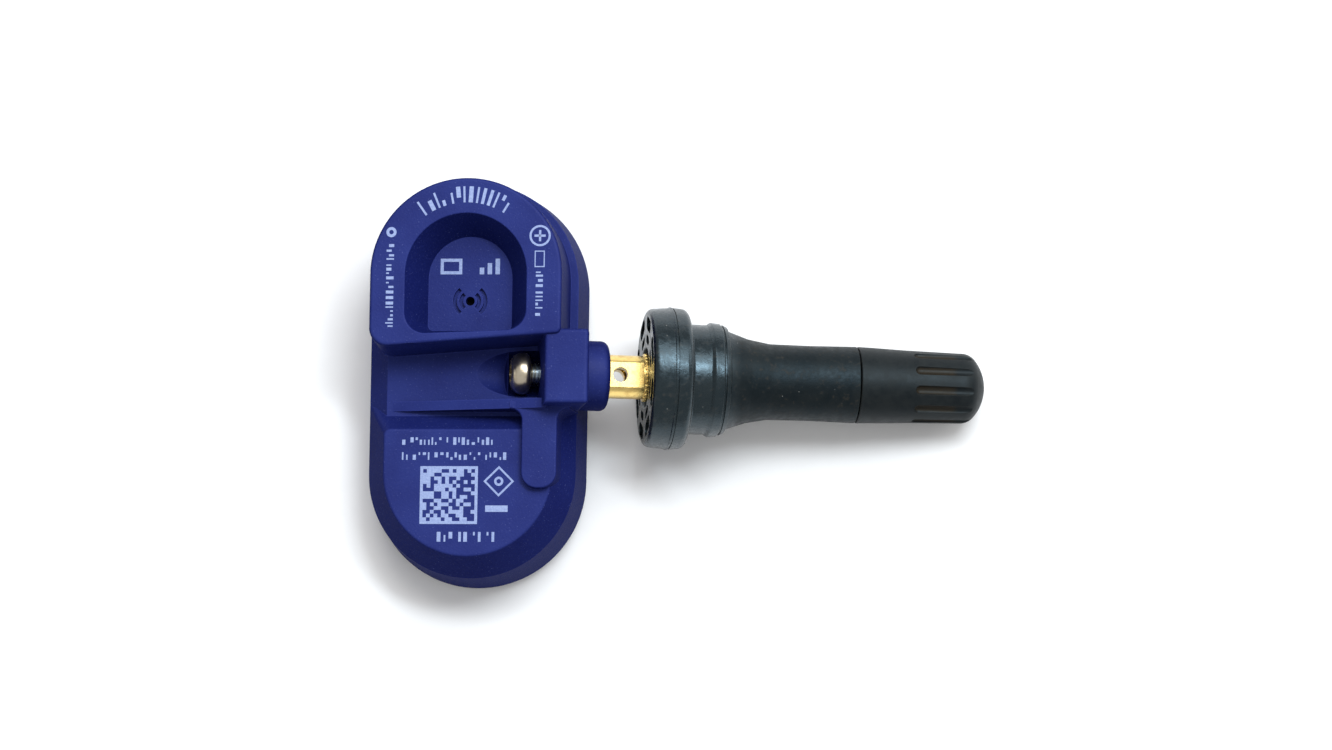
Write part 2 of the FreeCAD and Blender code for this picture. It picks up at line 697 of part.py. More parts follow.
def stem_outline():
    """Outside of the brass stem from its tail to its mouth, as a solid bar."""
    turns = int((MOUTH_S - 0.6 - THREAD_START_S) / THREAD_PITCH)
    corners = [
        (TAIL_END_S, 0, 0), (TAIL_END_S, TAIL_RADIUS, 0.3), (KNURL_START_S, TAIL_RADIUS, 0),
        (KNURL_START_S, KNURL_RADIUS, 0.1), (1.4, KNURL_RADIUS, 0), (1.4, 6.0, 0.2), (2.5, 6.0, 0.2),
        (2.5, 3.3, 0), (24.0, 3.3, 0), (24.6, THREAD_RADIUS - 0.1, 0),
        (THREAD_START_S - 0.3, THREAD_RADIUS - 0.1, 0),
    ]
    thread_root = THREAD_RADIUS - THREAD_DEPTH
    corners += thread_corners(THREAD_START_S, THREAD_PITCH, turns, THREAD_RADIUS, thread_root)
    corners += [
        (MOUTH_S - 0.5, THREAD_RADIUS - 0.2, 0), (MOUTH_S, THREAD_RADIUS - 0.5, 0), (MOUTH_S, 0, 0),
    ]
    return turned(corners)


def stem_bore():
    """Air way and valve-core chamber of the brass stem."""
    corners = [
        (AIR_HOLE_S - 0.9, 0, 0), (AIR_HOLE_S - 0.9, 1.1, 0.4), (20.0, 1.1, 0), (20.6, 2.0, 0),
        (33.6, 2.0, 0), (35.6, 2.45, 0), (35.8, 2.65, 0), (MOUTH_S + 1, 2.65, 0), (MOUTH_S + 1, 0, 0),
    ]
    return turned(corners)


def make_brass_stem():
    stem = stem_outline()
    tail_reach = (TAIL_END_S - 1, KNURL_START_S - 0.2)
    flats = [box(tail_reach, (-5, 5), (TAIL_FLAT, 5)), box(tail_reach, (-5, 5), (-5, -TAIL_FLAT))]
    tapped = rod(TAPPED_HOLE_RADIUS, (TAIL_END_S - 1, TAPPED_HOLE_END_S))
    cross_hole = Part.makeCylinder(AIR_HOLE_RADIUS, 8, Vec(AIR_HOLE_S, 0, -4))
    groove = aside_rod(0.2, (KNURL_START_S, -0.05), KNURL_RADIUS + 0.04)
    knurl = around_axis(groove, KNURL_GROOVES)
    return stem.cut(flats + [tapped, cross_hole, stem_bore()] + knurl)


def flange_pocket(ring_radius, end_radius, half_length):
    """Blind oval pocket in the flange's inner face, long way round the axis."""
    s_range = (-1.0, FLANGE_POCKET_DEPTH)
    radial = (ring_radius - end_radius, ring_radius + end_radius)
    pocket = box(s_range, (-half_length, half_length), radial)
    for y in (-half_length, half_length):
        end = aside_rod(end_radius, s_range, ring_radius)
        end.translate(Vec(0, y, 0))
        pocket = pocket.fuse(end)
    return pocket


def make_valve_rubber():
    """Rubber body bonded to the brass stem: flange, groove for the wheel, ridge and stem."""
    corners = [
        (DISH_DEPTH, 0, 0), (DISH_DEPTH, DISH_RADIUS - 0.2, 0.2), (0, DISH_RADIUS, 0.2),
        (0, FLANGE_FACE_RADIUS, 0.8), (2.85, FLANGE_RADIUS - 0.02, 0), (2.95, FLANGE_RADIUS + 0.08, 0),
        (3.1, FLANGE_RADIUS + 0.08, 0), (3.15, FLANGE_RADIUS - 0.14, 0), (3.3, FLANGE_RADIUS - 0.14, 0),
        (3.35, FLANGE_RADIUS, 0), (FLANGE_END_S - 0.15, FLANGE_RADIUS - 0.15, 1.0),
        (FLANGE_END_S, NECK_RADIUS, 0.3), (NECK_END_S, NECK_RADIUS, 0.2), (8.5, RIDGE_RADIUS, 0.3),
        (9.7, RIDGE_RADIUS - 0.12, 0.15), (9.8, 7.15, 0), (10.0, 7.15, 0), (10.05, 7.35, 0.05),
        (10.6, 7.1, 0.1), (10.75, 6.6, 0), (13.6, 5.6, 1.5), (16.6, STEM_RUBBER_RADIUS - 0.05, 3.0),
        (22.0, STEM_RUBBER_RADIUS - 0.1, 6.0), (RUBBER_END_S, STEM_RUBBER_RADIUS, 0.12),
        (RUBBER_END_S, RUBBER_LIP_RADIUS, 0), (RUBBER_LIP_END_S, RUBBER_LIP_RADIUS, 0),
        (RUBBER_LIP_END_S, 0, 0),
    ]
    pockets = []
    for count, ring_radius, end_radius, half_length in (OUTER_POCKETS, INNER_POCKETS):
        pocket = flange_pocket(ring_radius, end_radius, half_length)
        pockets += around_axis(pocket, count, 180.0 / count)
    return turned(corners).cut([stem_outline()] + pockets)


def make_core_body():
    """Threaded plug and barrel of the valve core, with air slots beside the pin."""
    plug_root = CORE_PLUG_RADIUS - CORE_THREAD_DEPTH
    threads = thread_corners(CORE_PLUG_S[0] + 0.3, CORE_THREAD_PITCH, CORE_THREAD_TURNS,
                             CORE_PLUG_RADIUS, plug_root)
    corners = [(CORE_BARREL_S, 0, 0), (CORE_BARREL_S, CORE_BARREL_RADIUS, 0.1),
               (CORE_PLUG_S[0], CORE_BARREL_RADIUS, 0), (CORE_PLUG_S[0], plug_root, 0)]
    corners += threads + [(CORE_PLUG_S[1], plug_root, 0), (CORE_PLUG_S[1], 0, 0)]
    chamber = rod(CORE_CHAMBER_RADIUS, CORE_CHAMBER_S)
    pin_hole = rod(CORE_PIN_HOLE_RADIUS, (CORE_BARREL_S - 1, CORE_PLUG_S[1] + 1))
    slots = [box((CORE_CHAMBER_S[1] - 0.5, CORE_PLUG_S[1] + 1), (side - 0.5, side + 0.5), (-0.5, 0.5))
             for side in (-1.4, 1.4)]
    return turned(corners).cut([chamber, pin_hole] + slots)


def make_core_gasket():
    """Tapered sleeve that seals the core's barrel against the seat in the stem."""
    inner = CORE_BARREL_RADIUS + 0.01
    return turned([(33.75, inner, 0), (33.75, 1.98, 0), (35.6, 2.4, 0), (35.6, inner, 0)])


def make_core_spring():
    """Coil spring around the pin that closes the valve core."""
    start = CORE_CHAMBER_S[0] + SPRING_WIRE / 2 + 0.02
    end = PIN_COLLAR_S[0] - SPRING_WIRE / 2 - 0.02
    helix = Part.makeHelix((end - start) / SPRING_TURNS, end - start, SPRING_RADIUS)
    section = Part.Wire(Part.Circle(Vec(SPRING_RADIUS, 0, 0), Y_AXIS, SPRING_WIRE / 2).toShape())
    spring = Part.Wire(helix.Edges).makePipeShell([section], True, True)
    spring.rotate(CENTRE, Y_AXIS, 90)
    spring.translate(Vec(start, 0, 0))
    return spring


def make_core_pin():
    pin = turned([(PIN_S[0], 0, 0), (PIN_S[0], CORE_PIN_RADIUS, 0.1), (PIN_COLLAR_S[0], CORE_PIN_RADIUS, 0),
                  (PIN_COLLAR_S[0], PIN_COLLAR_RADIUS, 0), (PIN_COLLAR_S[1], PIN_COLLAR_RADIUS, 0),
                  (PIN_COLLAR_S[1], CORE_PIN_RADIUS, 0), (PIN_S[1], CORE_PIN_RADIUS, 0.2), (PIN_S[1], 0, 0)])
    return pin


def make_core_poppet():
    """Cup on the end of the pin that carries the seal."""
    inner = CORE_PIN_RADIUS
    return turned([(POPPET_S[0], inner, 0), (POPPET_S[0], 1.2, 0), (POPPET_S[0] + 0.6, POPPET_RADIUS, 0.1),
                   (POPPET_S[1] + 0.5, POPPET_RADIUS, 0), (POPPET_S[1] + 0.5, POPPET_RADIUS - 0.2, 0),
                   (POPPET_S[1], POPPET_RADIUS - 0.2, 0), (POPPET_S[1], inner, 0)])


def make_core_poppet_seal():
    return ring(POPPET_RADIUS - 0.2, CORE_PIN_RADIUS, (POPPET_S[1], POPPET_SEAL_END_S))


def make_cap_seal():
    """Soft disc in the top of the cap that closes on the stem's mouth."""
    return rod(CAP_SEAL_RADIUS, CAP_SEAL_S)


def cap_outline():
    """Outside of the cap: slight taper, then a rounded edge that runs into a domed end."""
    tip_centre = Vec(CAP_END_S - CAP_TIP_RADIUS, 0, 0)
    aside = CAP_DOME_RADIUS - CAP_EDGE_RADIUS
    along = math.sqrt((CAP_TIP_RADIUS - CAP_EDGE_RADIUS) ** 2 - aside ** 2)
    edge_centre = tip_centre + Vec(along, aside, 0)
    join_angle = math.atan2(aside, along)
    edge_angle = (math.pi / 2 + join_angle) / 2
    tip_angle = join_angle / 2
    edge_start = edge_centre + Vec(0, CAP_EDGE_RADIUS, 0)
    edge_middle = edge_centre + Vec(math.cos(edge_angle), math.sin(edge_angle), 0) * CAP_EDGE_RADIUS
    join = tip_centre + Vec(math.cos(join_angle), math.sin(join_angle), 0) * CAP_TIP_RADIUS
    tip_middle = tip_centre + Vec(math.cos(tip_angle), math.sin(tip_angle), 0) * CAP_TIP_RADIUS
    start = Vec(CAP_START_S, 0, 0)
    tip = Vec(CAP_END_S, 0, 0)
    side = [
        start, Vec(CAP_START_S, CAP_OPEN_RADIUS - 0.12, 0), Vec(CAP_START_S + 0.12, CAP_OPEN_RADIUS, 0),
        Vec(31.5, 5.0, 0), Vec(34.7, 4.86, 0), Vec(40.0, 4.74, 0), edge_start,
    ]
    edges = [Part.LineSegment(a, b).toShape() for a, b in zip(side, side[1:])]
    edges.append(Part.Arc(edge_start, edge_middle, join).toShape())
    edges.append(Part.Arc(join, tip_middle, tip).toShape())
    edges.append(Part.LineSegment(tip, start).toShape())
    return Part.Face(Part.Wire(edges)).revolve(CENTRE, X_AXIS, 360)


def make_cap_shell():
    """Valve cap: ringed bore for the thread, seat for the seal, fluted grip."""
    turns = 14
    thread_start = CAP_START_S + 1.25
    bore = [
        (CAP_START_S - 1, 0, 0), (CAP_START_S - 1, CAP_MOUTH_RADIUS, 0),
        (thread_start - 0.3, CAP_MOUTH_RADIUS, 0),
    ]
    bore += thread_corners(thread_start, THREAD_PITCH, turns,
                           CAP_BORE_RADIUS, CAP_BORE_RADIUS + CAP_THREAD_DEPTH)
    seal_room = CAP_SEAL_RADIUS + 0.1
    bore += [
        (thread_start + turns * THREAD_PITCH, CAP_BORE_RADIUS, 0),
        (CAP_SEAL_S[0] - 0.1, CAP_BORE_RADIUS, 0), (CAP_SEAL_S[0] - 0.1, seal_room, 0),
        (CAP_SEAL_S[1] + 0.1, seal_room, 0), (CAP_SEAL_S[1] + 0.1, 0, 0),
    ]
    flute = aside_rod(CAP_FLUTE_RADIUS, (CAP_FLUTE_START_S, CAP_END_S + 2), CAP_FLUTE_CENTRE)
    flute_start = Vec(CAP_FLUTE_START_S, 0, CAP_FLUTE_CENTRE)
    flute = flute.fuse(Part.makeSphere(CAP_FLUTE_RADIUS, flute_start))
    return cap_outline().cut([turned(bore)] + around_axis(flute, CAP_FLUTES, CAP_FLUTE_TURN))


# ---- the whole object -----------------------------------------------------------------------
def body_frame_parts():
    return {
        "housing": make_housing(),
        "bottom_cover": make_bottom_cover(),
        "cover_seal": make_cover_seal(),
        "circuit_board": make_circuit_board(),
        "battery_can": make_battery_can(),
        "battery_gasket": make_battery_gasket(),
        "battery_cap": make_battery_cap(),
        "battery_cathode": cell_disc(8.5, CELL_SKIN, 1.45),
        "battery_separator": cell_disc(8.5, 1.45, 1.55),
        "battery_anode": cell_disc(8.2, 1.55, CELL_HEIGHT - CELL_SKIN),
        "battery_tab_positive": make_battery_tab_positive(),
        "battery_tab_negative": make_battery_tab_negative(),
        "pressure_sensor": make_pressure_sensor(),
        "sensor_lid": make_sensor_lid(),
        "port_gasket": make_port_gasket(),
        "port_membrane": make_port_membrane(),
        "radio_chip": chip((0, 18.0), (5.0, 5.0, 0.9)),
        "crystal": chip((5.4, 17.6), (3.2, 2.5, 0.8)),
        "chip_antenna": chip((0, 22.4), (7.0, 2.0, 1.2)),
        "capacitors": make_capacitors(),
        "resistors": make_resistors(),
    }


def valve_frame_parts():
    return {
        "mounting_screw": make_mounting_screw(),
        "brass_stem": make_brass_stem(),
        "valve_rubber": make_valve_rubber(),
        "core_body": make_core_body(),
        "core_gasket": make_core_gasket(),
        "core_spring": make_core_spring(),
        "core_pin": make_core_pin(),
        "core_poppet": make_core_poppet(),
        "core_poppet_seal": make_core_poppet_seal(),
        "cap_seal": make_cap_seal(),
        "cap_shell": make_cap_shell(),
    }


def whole_object():
    """All parts in the row frame, and the shift that puts the origin under their middle."""
    parts = body_frame_parts()
    for name, shape in valve_frame_parts().items():
        parts[name] = to_body_frame(shape)
    for shape in parts.values():
        shape.rotate(CENTRE, Y_AXIS, -BODY_TILT)
    extent = FreeCAD.BoundBox()
    for name in ("housing", "cap_shell"):
        extent.add(parts[name].optimalBoundingBox(False, False))
    shift = Vec(-extent.Center.x, -extent.Center.y, -extent.ZMin)
    for shape in parts.values():
        shape.translate(shift)
    return parts, shift


parts, shift = whole_object()
os.makedirs("parts", exist_ok=True)
for name, shape in parts.items():
    shape.exportStep("parts/" + name + ".step")
    state = "valid" if shape.isValid() else "INVALID"
    print(name, state, "solids", len(shape.Solids), "volume", round(shape.Volume, 2))
print("shift", shift)
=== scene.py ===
import json
import math
import random

import bmesh
import bpy
from mathutils import Euler, Matrix, Vector


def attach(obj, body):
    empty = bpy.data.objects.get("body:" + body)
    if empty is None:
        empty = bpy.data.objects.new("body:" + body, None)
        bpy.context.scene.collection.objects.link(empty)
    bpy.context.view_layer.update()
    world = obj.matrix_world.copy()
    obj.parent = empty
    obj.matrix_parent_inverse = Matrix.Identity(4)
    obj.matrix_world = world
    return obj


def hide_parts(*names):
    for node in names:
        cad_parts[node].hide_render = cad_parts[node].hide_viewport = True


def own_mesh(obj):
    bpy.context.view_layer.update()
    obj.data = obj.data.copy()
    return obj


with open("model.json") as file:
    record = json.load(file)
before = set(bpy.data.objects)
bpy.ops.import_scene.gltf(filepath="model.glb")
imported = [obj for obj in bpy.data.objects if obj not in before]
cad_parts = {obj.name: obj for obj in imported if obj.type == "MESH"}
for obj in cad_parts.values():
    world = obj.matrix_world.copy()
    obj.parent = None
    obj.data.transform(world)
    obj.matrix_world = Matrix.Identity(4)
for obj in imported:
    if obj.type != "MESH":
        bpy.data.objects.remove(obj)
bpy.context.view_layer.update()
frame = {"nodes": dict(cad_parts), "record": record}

MM = 0.001


# ---- places and joints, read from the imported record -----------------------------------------
def mount(name):
    """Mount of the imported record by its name."""
    return next(m for m in frame["record"]["mounts"] if m["name"] == name)


def joint(name):
    """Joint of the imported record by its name."""
    return next(j for j in frame["record"]["behaviour"]["joints"] if j["name"] == name)


# where the point of mount cover_face lies in the sensor body's own frame, millimetres
COVER_FACE_POINT = Vector((2.0, 8.0, 0.0))


def body_frame():
    """Matrix from the sensor body's own frame, in millimetres, to the row frame, in metres.

    Its x runs to the valve, y along the body and z out of its top, from under its middle.
    """
    face = mount("cover_face")
    up = -Vector(face["axis"])
    along = Vector((0, 1, 0))
    across = Vector((up.z, 0, -up.x))
    origin = Vector(face["pos_m"]) - across * COVER_FACE_POINT.x * MM - along * COVER_FACE_POINT.y * MM
    columns = [across * MM, along * MM, up * MM, origin]
    return Matrix([[column[row] for column in columns] for row in range(3)] + [[0, 0, 0, 1]])


BODY = body_frame()

# heights of the printed levels in the sensor body's own frame, millimetres
DOME_TOP = 17.7
RECESS_FLOOR = 12.8
PLATEAU_TOP = 12.8

# row x, metres, between which one finish gives way to the next
SCREW_NECK_X = (-0.01925, -0.0191)  # bronze head to zinc thread
SHEEN_END_X = (0.0058, 0.0085)  # glossy flange and ridge to matte stem
GRIP_START_X = (0.0312, 0.0318)  # smooth cap to grooved grip
GRIP_END_X = (0.0374, 0.0366)  # grooved grip to rounded tip

# distance from the cap's axis, metres, from clean ribs to full dirt in the grooves between them
GROOVE_RADII = (0.00468, 0.00456)


# ---- procedural materials -------------------------------------------------------------------
class Recipe:
    """A Principled material with helpers for object-space patterns; lengths in millimetres."""

    def __init__(self, name):
        self.material = bpy.data.materials.new(name)
        self.material.use_nodes = True
        self.tree = self.material.node_tree
        self.shader = self.tree.nodes["Principled BSDF"]
        self.place = self.node("ShaderNodeTexCoord").outputs["Object"]

    def node(self, kind, **settings):
        made = self.tree.nodes.new(kind)
        for key, value in settings.items():
            setattr(made, key, value)
        return made

    def link(self, source, target):
        self.tree.links.new(source, target)

    def put(self, value, socket):
        """Set a socket, or link it when the value is another node's output."""
        if isinstance(value, bpy.types.NodeSocket):
            self.link(value, socket)
        else:
            socket.default_value = value

    def noise(self, size, detail=2.0, rough=0.5, stretch=None):
        """Smooth noise whose blobs are about size millimetres across, 0 to 1."""
        made = self.node("ShaderNodeTexNoise")
        made.inputs["Scale"].default_value = 1 / (size * MM)
        made.inputs["Detail"].default_value = detail
        made.inputs["Roughness"].default_value = rough
        place = self.place
        if stretch:
            mapping = self.node("ShaderNodeMapping")
            mapping.inputs["Scale"].default_value = stretch
            self.link(self.place, mapping.inputs["Vector"])
            place = mapping.outputs["Vector"]
        self.link(place, made.inputs["Vector"])
        return made.outputs["Fac"]

    def cells(self, size):
        """Distance to scattered points about size millimetres apart."""
        made = self.node("ShaderNodeTexVoronoi")
        made.inputs["Scale"].default_value = 1 / (size * MM)
        self.link(self.place, made.inputs["Vector"])
        return made.outputs["Distance"]

    def row_x(self):
        """Place along the row's x axis, in metres."""
        parts = self.node("ShaderNodeSeparateXYZ")
        self.link(self.place, parts.inputs[0])
        return parts.outputs["X"]

    def upward(self):
        """Height of the surface's normal: 1 on level tops, 0 on walls."""
        parts = self.node("ShaderNodeSeparateXYZ")
        self.link(self.node("ShaderNodeTexCoord").outputs["Normal"], parts.inputs[0])
        return parts.outputs["Z"]

    def ramp(self, source, low, high, to_low=0.0, to_high=1.0):
        """Part of a value's range stretched to new limits, clamped."""
        made = self.node("ShaderNodeMapRange")
        self.link(source, made.inputs["Value"])
        limits = {"From Min": low, "From Max": high, "To Min": to_low, "To Max": to_high}
        for name, value in limits.items():
            made.inputs[name].default_value = value
        return made.outputs["Result"]

    def math(self, operation, a, b):
        made = self.node("ShaderNodeMath", operation=operation)
        self.put(a, made.inputs[0])
        self.put(b, made.inputs[1])
        return made.outputs[0]

    def mix(self, amount, a, b):
        """Colour between a and b."""
        made = self.node("ShaderNodeMix", data_type="RGBA")
        colour_a, colour_b = made.inputs[6], made.inputs[7]
        self.put(amount, made.inputs["Factor"])
        self.put(a, colour_a)
        self.put(b, colour_b)
        return made.outputs[2]

    def soft_normal(self, radius):
        """Normal that rounds edges by a radius."""
        bevel = self.node("ShaderNodeBevel", samples=6)
        bevel.inputs["Radius"].default_value = radius * MM
        return bevel.outputs["Normal"]

    def edge_wear(self, radius, low, high):
        """1 along edges, 0 on flats."""
        dot = self.node("ShaderNodeVectorMath", operation="DOT_PRODUCT")
        self.link(self.soft_normal(radius), dot.inputs[0])
        self.link(self.node("ShaderNodeNewGeometry").outputs["Normal"], dot.inputs[1])
        return self.ramp(dot.outputs["Value"], high, low)

    def axis_distance(self, point, direction):
        """Distance from a line through a point, in metres."""
        offset = self.node("ShaderNodeVectorMath", operation="SUBTRACT")
        self.link(self.place, offset.inputs[0])
        offset.inputs[1].default_value = point
        across = self.node("ShaderNodeVectorMath", operation="CROSS_PRODUCT")
        self.link(offset.outputs["Vector"], across.inputs[0])
        across.inputs[1].default_value = direction
        length = self.node("ShaderNodeVectorMath", operation="LENGTH")
        self.link(across.outputs["Vector"], length.inputs[0])
        return length.outputs["Value"]

    def surface(self, colour, roughness, metallic=0.0, specular=0.5, varied_specular=None):
        """Finish of the shader; a varied specular stands over the plain one where it is given."""
        self.put(colour, self.shader.inputs["Base Color"])
        self.put(roughness, self.shader.inputs["Roughness"])
        self.shader.inputs["Metallic"].default_value = metallic
        self.shader.inputs["Specular IOR Level"].default_value = specular
        if varied_specular:
            self.link(varied_specular, self.shader.inputs["Specular IOR Level"])

    def bumps(self, *heights, edge_radius=None):
        """Bump from (height socket, depth in millimetres) pairs, over softened edges."""
        normal = self.soft_normal(edge_radius) if edge_radius else None
        for height, depth in heights:
            made = self.node("ShaderNodeBump")
            made.inputs["Distance"].default_value = depth * MM
            self.link(height, made.inputs["Height"])
            if normal:
                self.link(normal, made.inputs["Normal"])
            normal = made.outputs["Normal"]
        self.link(normal, self.shader.inputs["Normal"])


def rgb(red, green, blue, share=1.0):
    """Opaque colour, darkened to a share of its channels."""
    return (red * share, green * share, blue * share, 1.0)


def blue_plastic(name, tint=1.0):
    """Spark-eroded blue nylon: fine grain, pale glints, slightly paler worn edges and painted shade on
    walls and slopes.
    """
    r = Recipe(name)
    deep, clear = rgb(0.0128, 0.0205, 0.128, tint), rgb(0.017, 0.0275, 0.155, tint)
    # darker blue for the painted shade on walls and slopes
    painted_flank_shade_blue = rgb(0.003, 0.005, 0.055, tint)
    grain_blue, edge_blue, glint_blue = rgb(0.025, 0.04, 0.22), rgb(0.045, 0.06, 0.3), rgb(0.13, 0.16, 0.38)
    cloud = r.noise(7.0, 3.0)
    grain = r.noise(0.22, 3.0, 0.6)
    glints = r.ramp(r.noise(0.2, 1.0), 0.68, 0.78)
    # painted shade: faces that tilt away from level get more of the darker blue; the same mask lowers the
    # specular there
    flank_shade_mask = r.ramp(r.upward(), 0.95, 0.6, 0.0, 0.7)
    edges = r.edge_wear(0.25, 0.9, 0.995)
    base = r.mix(r.ramp(cloud, 0.35, 0.65), deep, clear)
    # base colour with the painted shade laid over walls and slopes
    flank_shaded = r.mix(flank_shade_mask, base, painted_flank_shade_blue)
    speckled = r.mix(r.ramp(grain, 0.5, 0.85, 0.0, 0.3), flank_shaded, grain_blue)
    rubbed = r.mix(r.math("MULTIPLY", edges, 0.25), speckled, edge_blue)
    lit = r.mix(r.math("MULTIPLY", glints, 0.3), rubbed, glint_blue)
    r.surface(lit, r.ramp(grain, 0.3, 0.7, 0.42, 0.56), varied_specular=r.ramp(flank_shade_mask, 0.0, 0.7, 0.09, 0.01))
    r.bumps((r.noise(0.35, 2.0), 0.03), (grain, 0.03), edge_radius=0.12)
    return r.material


def print_ink(name):
    """Pad-printed pale lavender ink, thin in places."""
    r = Recipe(name)
    thin, full = rgb(0.21, 0.27, 0.5), rgb(0.31, 0.39, 0.62)
    worn = r.noise(0.25, 3.0, 0.65)
    colour = r.mix(r.ramp(worn, 0.35, 0.7), thin, full)
    r.surface(colour, r.ramp(worn, 0.3, 0.7, 0.45, 0.6), specular=0.3)
    r.bumps((worn, 0.008))
    return r.material


def moulded_rubber(name, dark=1.0):
    """Black moulded rubber: bluish sheen near the flange, matte stem, brownish bloom and dust."""
    r = Recipe(name)
    black, bloomed = rgb(0.0035, 0.0052, 0.0062, dark), rgb(0.0085, 0.0098, 0.0098, dark)
    brown_stain, dust_grey = rgb(0.038, 0.03, 0.021), rgb(0.3, 0.3, 0.28)
    bloom = r.noise(3.0, 4.0, 0.6)
    mottling = r.noise(0.8, 3.0, 0.6)
    dust = r.ramp(r.cells(1.9), 0.05, 0.03)
    base = r.mix(r.ramp(bloom, 0.4, 0.7), black, bloomed)
    stained = r.mix(r.math("MULTIPLY", r.ramp(mottling, 0.56, 0.75), 0.5), base, brown_stain)
    dusty = r.mix(r.math("MULTIPLY", dust, 0.5), stained, dust_grey)
    along = r.row_x()
    matte = r.ramp(along, *SHEEN_END_X, 0.0, 0.2)
    sheen = r.ramp(along, *SHEEN_END_X, 0.6, 0.2)
    roughness = r.math("ADD", r.ramp(mottling, 0.35, 0.7, 0.2, 0.38), matte)
    r.surface(dusty, roughness, specular=0.3, varied_specular=sheen)
    r.shader.inputs["Specular Tint"].default_value = rgb(0.6, 0.85, 1.0)
    r.bumps((bloom, 0.06), (mottling, 0.03), (r.noise(0.15, 2.0), 0.01))
    return r.material


def cap_plastic(name):
    """Black cap plastic with brown dirt in the grooves of its grip and on worn edges."""
    r = Recipe(name)
    black, hazy = rgb(0.0045, 0.006, 0.0072), rgb(0.009, 0.0105, 0.0108)
    dirt_brown = rgb(0.02, 0.0135, 0.0065)
    haze = r.noise(1.2, 3.0, 0.6)
    fine = r.noise(0.2, 3.0, 0.6)
    base = r.mix(r.ramp(haze, 0.35, 0.7), black, hazy)
    turn = joint("cap_turn")
    radius = r.axis_distance(turn["pos_m"], turn["axis"])
    along = r.row_x()
    grip = r.math("MULTIPLY", r.ramp(along, *GRIP_START_X), r.ramp(along, *GRIP_END_X))
    groove = r.math("MULTIPLY", r.ramp(radius, *GROOVE_RADII), grip)
    dirt = r.math("MULTIPLY", groove, r.ramp(fine, 0.3, 0.6, 0.45, 1.0))
    wear = r.math("MULTIPLY", r.edge_wear(0.35, 0.86, 0.99), r.ramp(fine, 0.4, 0.6, 0.0, 0.45))
    worn = r.mix(r.math("MAXIMUM", dirt, wear), base, dirt_brown)
    r.surface(worn, r.ramp(haze, 0.3, 0.7, 0.42, 0.56), specular=0.2)
    r.shader.inputs["Specular Tint"].default_value = rgb(0.75, 0.92, 1.0)
    r.bumps((haze, 0.02), (fine, 0.012), edge_radius=0.1)
    return r.material


def turned_brass(name, colour=(0.84, 0.62, 0.22), dull=0.0):
    """Machined brass: fine turning lines and faint tarnish."""
    r = Recipe(name)
    red, green, blue = colour
    lines = r.noise(0.12, 2.0, 0.5, stretch=(1.0, 0.08, 0.08))
    tarnish = r.noise(0.9, 4.0, 0.6)
    tone = r.mix(r.ramp(tarnish, 0.45, 0.75), rgb(*colour), rgb(red * 0.75, green * 0.66, blue * 0.6))
    r.surface(tone, r.ramp(tarnish, 0.3, 0.7, 0.17 + dull, 0.34 + dull), metallic=1.0)
    r.bumps((lines, 0.004), (tarnish, 0.006), edge_radius=0.06)
    return r.material


def plated_steel(name, colour, rough=(0.2, 0.35)):
    """Steel with fine drawn lines and faint stains."""
    r = Recipe(name)
    lines = r.noise(0.1, 2.0, 0.5, stretch=(0.1, 1.0, 1.0))
    stain = r.noise(1.1, 4.0, 0.6)
    tone = r.mix(r.ramp(stain, 0.4, 0.7), rgb(*colour), rgb(*colour, 0.7))
    r.surface(tone, r.ramp(stain, 0.3, 0.7, *rough), metallic=1.0)
    r.bumps((lines, 0.004), edge_radius=0.05)
    return r.material


def dull_solid(name, light, dark, size=0.6, rough=(0.45, 0.65), depth=0.01, specular=0.5):
    """Mottled non-metal surface for boards, chips, ceramics and seals."""
    r = Recipe(name)
    mottling = r.noise(size, 3.0, 0.6)
    tone = r.mix(r.ramp(mottling, 0.35, 0.65), rgb(*light), rgb(*dark))
    r.surface(tone, r.ramp(mottling, 0.3, 0.7, *rough), specular=specular)
    r.bumps((mottling, depth))
    return r.material


def screw_steel(name):
    """Screw with a smooth bronze-brown head and a bright zinc thread."""
    r = Recipe(name)
    pale_bronze, dark_bronze = rgb(0.66, 0.58, 0.45), rgb(0.42, 0.34, 0.22)
    zinc = rgb(0.62, 0.7, 0.76)
    stain = r.noise(1.6, 2.0, 0.5)
    bronze = r.mix(r.ramp(stain, 0.4, 0.65), pale_bronze, dark_bronze)
    tone = r.mix(r.ramp(r.row_x(), *SCREW_NECK_X), bronze, zinc)
    r.surface(tone, r.ramp(stain, 0.3, 0.7, 0.28, 0.35), metallic=1.0)
    r.bumps((r.noise(0.12, 2.0), 0.002))
    return r.material


